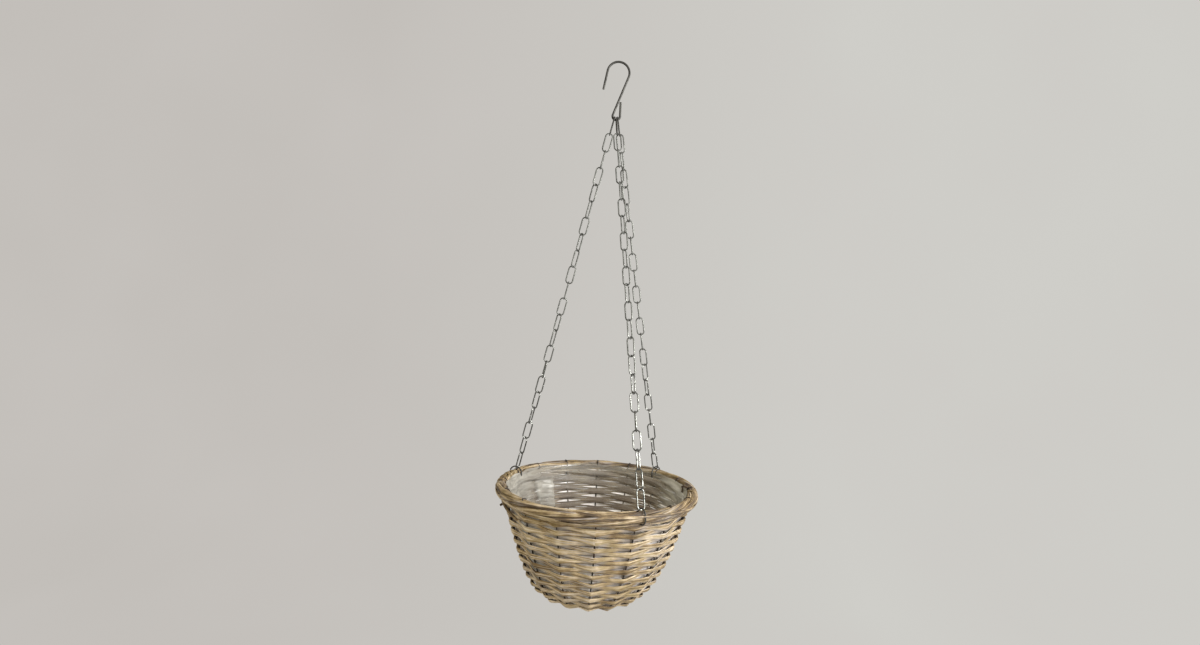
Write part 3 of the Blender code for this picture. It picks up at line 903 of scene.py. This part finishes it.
def add_border(material):
    for number, tone in enumerate(ROD_TONES):
        strand = rim_strand(number, 0, 360, ROD_TURNS, 360 * number / ROD_COUNT, ROD_ORBIT,
                            ROD_DIAMETER * ROD_FLATNESS, ROD_DIAMETER, tone, True)
        add_piece("rim_rod_%d" % (number + 1), [strand], material,
                  ["border_rod_%d" % (number + 1)])


def add_strips(material):
    strips = []
    for number, (start, end, turns, first_turn, width, tone) in enumerate(RIM_STRIPS):
        strips.append(rim_strand(10 + number, start, end, turns, first_turn, BUNDLE_RADIUS - STRIP_SINK,
                                 width, STRIP_THICKNESS, tone, False))
    for number, (start, end) in enumerate(UNDER_STRIPS):
        strips.append(rim_strand(40 + number, start, end, 0, UNDER_TURN, UNDER_ORBIT,
                                 UNDER_WIDTH, UNDER_THICKNESS, UNDER_TONE, False))
    add_piece("rim_strips", strips, material)


def add_packing(material):
    """Split rods that fill the space between the border and the top course."""
    packing = []
    for number, (down, inset) in enumerate(PACKING_PLACES):
        shade = random.Random(PACKING_SEED + number).uniform(*PACKING_TONES)
        path, tones = [], []
        for station in range(STATIONS):
            degrees = 360 * station / STATIONS
            r = HOOP_RADIUS - inset + ROD_WANDER * wave(degrees, 500 + number, 4)
            z = HOOP_Z - down + ROD_WANDER * wave(degrees, 510 + number, 4)
            path.append(basket_point(degrees, r, z))
            tone = shade + PACKING_DRIFT_TONE * wave(degrees, 520 + number, 3)
            # Painted shade on the packing under the rim
            tones.append((tone, PACKING_INNER_SHADE, 0))
        packing.append(tube(path, PACKING_DIAMETER / 2, WIRE_SIDES, closed=True, normal=AXIS_Z, tones=tones))
    add_piece("rim_packing", packing, material)


def add_hoop(material):
    path = [radial(360 * i / HOOP_STEPS) * HOOP_RADIUS + HOOP_Z * AXIS_Z for i in range(HOOP_STEPS)]
    wire = tube(path, HOOP_WIRE / 2, WIRE_SIDES, closed=True, normal=AXIS_Z)
    add_piece("rim_hoop", [wire], material, ["hoop_wire"])


def add_loose_ends(material):
    """Rod ends that stick out where the border starts, and one that slants over the top courses."""
    skins = []
    for number, (points, diameter, shade) in enumerate(LOOSE_ENDS):
        path, radii, tones = [], [], []
        for step in range(LOOSE_STEPS + 1):
            share = step / LOOSE_STEPS
            spot = share * (len(points) - 1)
            k = min(int(spot), len(points) - 2)
            degrees, r, z = (a + (b - a) * smooth(0, 1, spot - k) for a, b in zip(points[k], points[k + 1]))
            path.append(basket_point(degrees, HOOP_RADIUS + r, HOOP_Z + z))
            radii.append(diameter / 2 * (1 - LOOSE_TAPER_SHARE * share))
            tones.append((shade + LOOSE_DRIFT_TONE * wave(degrees * LOOSE_DRIFT_RATE, number, 3), 0, 0))
        skins.append(tube(path, radii, WIRE_SIDES, tones=tones))
    add_piece("loose_ends", skins, material)


# Woven bottom
def base_skin(number):
    """Round NUMBER of the base, counted from its edge, which weaves on where the courses end."""
    stations = RIB_COUNT * BASE_STEPS_PER_RIB
    pitch = (BASE_RADIUS - BASE_HOLE_RADIUS) / BASE_ROUNDS
    middle = BASE_Z - (WALL_REACH + RIB_WIRE / 2) / 2 + BASE_RAISE
    radius = BASE_RADIUS - pitch * (number + 0.5)
    sections = []
    for degrees in angles_round(stations):
        side = course_side(COURSE_COUNT + 1 + number, degrees)
        lens = smooth(BASE_LENS_START_SHARE, 1, abs(side))
        half = pitch / 2 * (BASE_CROSSING_SHARE + BASE_LENS_SHARE * lens)
        section = []
        for j in range(BASE_SIDES):
            angle = math.tau * j / BASE_SIDES
            z = middle - BASE_WAVE * side + BASE_THICKNESS / 2 * math.sin(angle)
            section.append(basket_point(degrees, radius + half * math.cos(angle), z))
        sections.append(section)
    tone = random.Random(BASE_SEED + number).uniform(*BASE_TONES)
    # Painted shade on the rounds of the base
    return skin(sections, True, [(tone, BASE_INNER_SHADE, 0)] * stations)


def add_base(material):
    skins = [base_skin(number) for number in range(BASE_ROUNDS)]
    add_piece("base_weave", skins, material, ["base_disc"])


# Film inside the basket
def film_point(degrees, length):
    """Place, haze and painted slit light of the film, which sinks between the rods and lies in folds on the
    left.
    """
    number = (WALL_LENGTH - length) / COURSE_PITCH + 0.5
    height_share = length / WALL_LENGTH
    left = near(degrees, *LEFT_STRETCH)
    panel = near(degrees, *PANEL_STRETCH)
    panel *= smooth(*PANEL_FOOT_SHARES, height_share) * smooth(*PANEL_HEAD_SHARES, height_share)
    right = near(degrees, *RIGHT_STRETCH) * smooth(*RIGHT_FOOT_SHARES, height_share)
    upper = smooth(*UPPER_SHARES, height_share)
    hem = smooth(WALL_LENGTH - HEM_LENGTH, WALL_LENGTH, length)
    dip = FILM_DIP * smooth(*DIP_SHARES, course_side(number, degrees))
    dip *= 1 - FOLDED_DIP_SHARE * max(left, panel)
    fold = abs(FILM_FOLD * wave(degrees, length * FOLD_CHANGE, 9) * (1 + LEFT_FOLD_GAIN * left))
    r, z = wall_point(min(length, WALL_LENGTH), -WALL_REACH - CLEARANCE - FILM_PLAY + dip - fold)
    over = max(0, length - WALL_LENGTH)
    over_share = over / FILM_RISE
    rise = max(0, z + over - HOOP_Z)
    reach = BUNDLE_RADIUS + FILM_PLAY + fold * RIM_FOLD_SHARE
    rim_r = HOOP_RADIUS - math.sqrt(reach ** 2 - rise ** 2)
    r += (rim_r - r) * smooth(0, RISE_INWARD_SHARE, over_share)
    taut_drop = chord_drop(FRONT_RIB_DEGREES + 180 / RIB_COUNT, r)
    drop = FILM_TAUT_SHARE * taut_drop + (1 - FILM_TAUT_SHARE) * chord_drop(degrees, r)
    r -= drop * (1 - over_share) + PANEL_THICKNESS * panel
    course = round(number)
    half = SLIT_HEIGHT_SHARE * min(1, 1 - SLIT_SIDE_SHARE + SLIT_SIDE_SHARE * course_side(course, degrees))
    half *= lens_chance(course, degrees).uniform(*SLIT_SIZE_SHARES)
    half *= (1 - panel) * (1 - SLIT_LEFT_SHARE * left) * (1 - SLIT_UPPER_SHARE * upper)
    # Painted light over the slits, where light shows through the weave
    slit = min(max(SLIT_EDGE + half - abs(number - course), 0), 1)
    haze = (CLEAR_HAZE + LEFT_HAZE * left + PANEL_HAZE * panel + UPPER_HAZE * upper
            + RIGHT_HAZE * right + HEM_HAZE * hem)
    return r, z + over, haze, slit


def film_row(row):
    """Points and tones of one row of the film: on the floor below row 0, and up the wall from it."""
    rows = COURSE_COUNT * ROWS_PER_COURSE
    floor_z = BASE_Z + RIB_WIRE / 2 + CLEARANCE
    points, tones = [], []
    for degrees in angles_round(STATIONS):
        if row < 0:
            share = (row + FLOOR_ROWS + FLOOR_MIDDLE_SHARE) / (FLOOR_ROWS + FLOOR_MIDDLE_SHARE)
            r = (BASE_RADIUS - FLOOR_INSET) * share
            z = floor_z + FILM_FOLD * FLOOR_FOLD_SHARE * (1 + wave(degrees, row, 2))
            haze, slit = FLOOR_HAZE, 0
        else:
            hem_share = 1 - HEM_WAVE_SHARE + HEM_WAVE_SHARE * wave(degrees, 400, 5)
            r, z, haze, slit = film_point(degrees, (WALL_LENGTH + FILM_RISE * hem_share) * row / rows)
            z = max(z, floor_z)
        points.append(tuple(basket_point(degrees, r, z)))
        tones.append((haze, slit, 0))
    return points, tones


def add_film(material):
    count = FLOOR_ROWS + COURSE_COUNT * ROWS_PER_COURSE + 1
    points, tones, faces, uvs = [], [], [], []
    for i in range(count):
        row_points, row_tones = film_row(i - FLOOR_ROWS)
        points += row_points
        tones += row_tones
    for i in range(count - 1):
        low, high = i / count, (i + 1) / count
        for j in range(STATIONS):
            k = (j + 1) % STATIONS
            left, right = j / STATIONS, (j + 1) / STATIONS
            faces.append((i * STATIONS + j, i * STATIONS + k, (i + 1) * STATIONS + k, (i + 1) * STATIONS + j))
            uvs += [(left, low), (right, low), (right, high), (left, high)]
    faces.append(tuple(reversed(range(STATIONS))))
    uvs += [(0.5, 0.0)] * STATIONS
    skins = [(np.array(points), faces, uvs, np.array(tones))]
    film = add_piece("film_liner", skins, material, ["liner"])


# Hook
def add_hook(material):
    crook = AXIS_Z * (HOOK_WIRE / 2 - CROOK_RADIUS)
    eye = AXIS_Z * (EYE_Z + EYE_RADIUS)
    apart = (crook - eye).length
    lean = math.asin((EYE_RADIUS + CROOK_RADIUS) / apart)
    lean_degrees = math.degrees(lean)
    closing_x = EYE_RADIUS - HOOK_WIRE / 2 - (HOOK_WIRE / 2 + EYE_END_GAP) / math.cos(lean)
    closing_rise = (closing_x + EYE_RADIUS * math.cos(lean)) / math.tan(lean)
    closing_z = eye.z + EYE_RADIUS * math.sin(lean) + closing_rise
    path = [AXIS_X * EYE_RADIUS + AXIS_Z * closing_z]
    path += arc(eye, EYE_RADIUS, 0, -180 - lean_degrees, EYE_STEPS, AXIS_X, AXIS_Z)
    path += arc(crook, CROOK_RADIUS, -lean_degrees, CROOK_END_DEGREES, CROOK_STEPS, AXIS_X, AXIS_Z)
    tip = radial(CROOK_END_DEGREES + 90)
    direction = tip.x * AXIS_X + tip.y * AXIS_Z
    start = path[-1]
    path += [start + direction * TIP_LENGTH * share for share in TIP_SHARES]
    radii = [HOOK_WIRE / 2] * (len(path) - 1) + [HOOK_WIRE / 2 * TIP_END_SHARE]
    wire = tube(path, radii, HOOK_SIDES, normal=AXIS_Y)
    add_piece("hook_wire", [wire], material, ["hook"], "hook")


# Chains
def chain_line(letter):
    """Top and foot of a chain, and the direction from one to the other."""
    seat_degrees = {"a": -EYE_SEAT_DEGREES, "b": 0, "c": EYE_SEAT_DEGREES}[letter]
    seat = radial(seat_degrees - 90) * SEAT_RADIUS
    top = Vector((seat.x, 0, EYE_Z + EYE_RADIUS + seat.y))
    rim = radial(CHAIN_DEGREES[letter]) * HOOP_RADIUS + HOOP_Z * AXIS_Z
    return top, rim, (rim - top).normalized()


def link_skin(start, down, normal, wears):
    """Round-wire link that hangs from START along DOWN, across NORMAL, with its crowns worn by WEARS."""
    half = (LINK_INNER_WIDTH + LINK_WIRE) / 2
    side = normal.cross(down).normalized()
    path = arc(start + down * half, half, 0, 180, CROWN_STEPS, side, -down)
    path += arc(start + down * (LINK_SPAN - half), half, 180, 360, CROWN_STEPS, side, -down)
    straight = [path[-1].lerp(path[0], share) for share, _ in LINK_SIDE_SHARES]
    radii = [LINK_WIRE / 2 * (1 - wear * math.sin(math.pi * i / CROWN_STEPS))
             for wear in wears for i in range(CROWN_STEPS + 1)]
    radii += [LINK_WIRE / 2 * share for _, share in LINK_SIDE_SHARES]
    return tube(path + straight, radii, WIRE_SIDES, closed=True, normal=normal)


def add_chain(letter, material, dull_and_shaded_material):
    """Chain whose links turn by quarter turns and their lags, so that the last one meets the ring."""
    top, rim, down = chain_line(letter)
    first_normal = flatten(AXIS_X, down)
    last_normal = flatten(radial(CHAIN_DEGREES[letter]), down)
    up = -down
    turned = math.degrees(math.atan2(first_normal.cross(last_normal).dot(up), first_normal.dot(last_normal)))
    numbers, lags = zip(*LINK_LAGS[letter])
    miss = (turned - 90 * (numbers[-1] - 1) - lags[-1] + 90) % 180 - 90
    slack = ((rim - top).length - LAST_CROWN - CHAIN_SPAN) / GROUPS_PER_CHAIN
    # Painted shade: the top link takes the darker dull steel instead of zinc, where it would catch the glint
    # lamp
    top_link = link_skin(top, down, first_normal, (CROWN_WEAR_SHARE, TOP_CROWN_WEAR_SHARE))
    add_piece("link_%s_01" % letter, [top_link], dull_and_shaded_material,
              ["chain_%s_link_01" % letter], "top_links")
    for i in range(GROUPS_PER_CHAIN):
        number = 2 + i * LINKS_PER_GROUP
        depth = (i + 1) * (FREE_PITCH + slack) + i * (GROUP_SPAN - LINK_SPAN)
        depth -= TOP_CROWN_PLAY if i == 0 else 0
        skins = []
        for k in range(LINKS_PER_GROUP):
            degrees = 90 * (number - 1 + k) + float(np.interp(number + k, numbers, lags))
            degrees += miss * (number + k) / numbers[-1]
            normal = Matrix.Rotation(math.radians(degrees), 3, up) @ first_normal
            start = top + down * (depth + k * FUSED_PITCH)
            upper_wear = TOP_CROWN_WEAR_SHARE if number + k == 2 else CROWN_WEAR_SHARE
            skins.append(link_skin(start, down, normal, (upper_wear, CROWN_WEAR_SHARE)))
        span = "%02d_%02d" % (number, number + LINKS_PER_GROUP - 1)
        add_piece("links_%s_%s" % (letter, span), skins, material,
                  ["chain_%s_links_%s" % (letter, span)], "chain_" + letter)
    add_ring(letter, rim, down, dull_and_shaded_material)


def add_ring(letter, rim, down, material):
    outward = radial(CHAIN_DEGREES[letter])
    side = AXIS_Z.cross(outward)
    flat_down = flatten(down, side)
    inner_low = BUNDLE_RADIUS + CLEARANCE
    inner_high = LAST_CROWN + LINK_WIRE / 2 + CLEARANCE
    radius = (inner_low + inner_high + RING_WIRE) / 2
    centre = rim - flat_down * (inner_high - inner_low) / 2
    across = flatten(outward, flat_down)
    half_gap = math.degrees((RING_WIRE + RING_END_GAP) / 2 / radius)
    path = arc(centre, radius, half_gap, 360 - half_gap, RING_STEPS, across, flat_down)
    wire = tube(path, RING_WIRE / 2, WIRE_SIDES, normal=across.cross(flat_down))
    add_piece("ring_wire_" + letter, [wire], material,
              ["chain_%s_ring" % letter], "ring_" + letter)


# Stage, lights and camera
def backdrop_material():
    """Pale backdrop: camera, mirror and glass rays see its plain colour, and others a matt surface."""
    nodes = Nodes("backdrop")
    place = nodes.coordinates()
    # Painted light: the backdrop runs lighter to the right
    across = nodes.fit(nodes.split(place)[0], -STAGE_BLEND_X, STAGE_BLEND_X)
    colour = nodes.mix(across, BACKDROP_LEFT, BACKDROP_RIGHT)
    mottle = nodes.noise(place, 1.2, 2, 0.5)
    colour = nodes.mix(nodes.fit(mottle, 0.3, 0.7, 0, 0.35), colour, BACKDROP_CLOUD)
    nodes.set(Base_Color=colour, Roughness=0.9)
    glow = nodes.add("Emission")
    nodes.fill(glow, Color=colour)
    rays = nodes.add("LightPath").outputs
    seen = nodes.math("MAXIMUM", rays["Is Camera Ray"], rays["Is Glossy Ray"])
    seen = nodes.math("MAXIMUM", seen, rays["Is Transmission Ray"])
    mixed = nodes.add("MixShader")
    sources = seen, nodes.shader.outputs["BSDF"], glow.outputs["Emission"]
    for source, socket in zip(sources, mixed.inputs):
        nodes.link(source, socket)
    nodes.fill(nodes.output, Surface=mixed.outputs["Shader"])
    return nodes.material


def add_stage():
    profile = [(STAGE_FRONT_Y, FLOOR_Z)]
    for i in range(SWEEP_STEPS + 1):
        angle = math.radians(90 * i / SWEEP_STEPS)
        y = BACKDROP_Y - SWEEP_RADIUS * (1 - math.sin(angle))
        profile.append((y, FLOOR_Z + SWEEP_RADIUS * (1 - math.cos(angle))))
    profile.append((BACKDROP_Y, STAGE_TOP_Z))
    points = [(x, y, z) for y, z in profile for x in (-STAGE_HALF_WIDTH, STAGE_HALF_WIDTH)]
    faces = [(2 * i, 2 * i + 1, 2 * i + 3, 2 * i + 2) for i in range(len(profile) - 1)]
    mesh = bpy.data.meshes.new("sweep")
    mesh.from_pydata(points, [], faces)
    mesh.shade_smooth()
    mesh.materials.append(backdrop_material())
    add_object("sweep", mesh)


def add_world():
    world = bpy.data.worlds.new("studio")
    world.use_nodes = True
    background = world.node_tree.nodes["Background"]
    background.inputs["Color"].default_value = linear(WORLD_COLOUR)
    background.inputs["Strength"].default_value = WORLD_STRENGTH
    bpy.context.scene.world = world


def add_lamp(name, place, size, power, colour, diffuse, glossy):
    data = bpy.data.lights.new(name, "AREA")
    data.shape = "RECTANGLE"
    data.size, data.size_y = size
    data.energy = power
    data.color = colour
    lamp = add_object(name, data)
    lamp.location = place
    lamp.rotation_euler = (Vector(LAMP_TARGET) - Vector(place)).to_track_quat("-Z", "Y").to_euler()
    lamp.visible_diffuse = diffuse
    lamp.visible_glossy = glossy


def add_camera():
    data = bpy.data.cameras.new("camera")
    data.sensor_fit = "HORIZONTAL"
    data.sensor_width = SENSOR_MM
    data.lens = LENS_MM
    down = math.radians(CAMERA_DOWN_DEGREES)
    roll = math.radians(CAMERA_ROLL_DEGREES)
    forward = Vector((0, math.cos(down), -math.sin(down)))
    level_up = Vector((0, math.sin(down), math.cos(down)))
    right = math.cos(roll) * AXIS_X + math.sin(roll) * level_up
    up = -math.sin(roll) * AXIS_X + math.cos(roll) * level_up
    rotation = Matrix((right, up, -forward)).transposed()
    camera = add_object("camera", data)
    camera.matrix_world = Matrix.Translation(CAMERA_PLACE) @ rotation.to_4x4()
    bpy.context.scene.camera = camera


def main():
    willow = willow_material("split_willow", 0, 0)
    peeled = willow_material("peeled_willow", -0.13, 0.13)
    zinc = steel_material("galvanised_wire", ZINC_PALE, ZINC_DARK, 0.8, 0.34, 0.62)
    # Dull steel: the hook's and the rings' own, and painted shade on the top links
    dull = steel_material("dull_and_shaded_wire", DULL_AND_SHADED_PALE, DULL_AND_SHADED_DARK, 0.5, 0.6, 0.6)
    dark = wire_material("rib_wire")
    film = film_material("clear_film")
    add_camera()
    add_hook(dull)
    for letter in CHAIN_DEGREES:
        add_chain(letter, zinc, dull)
    add_ribs(dark)
    add_border(peeled)
    add_strips(peeled)
    add_packing(peeled)
    add_hoop(dark)
    add_loose_ends(peeled)
    add_weave(willow)
    add_base(willow)
    add_film(film)
    add_stage()
    add_world()
    for lamp in LAMPS:
        add_lamp(*lamp)
    bpy.context.scene.view_settings.view_transform = "Standard"


main()
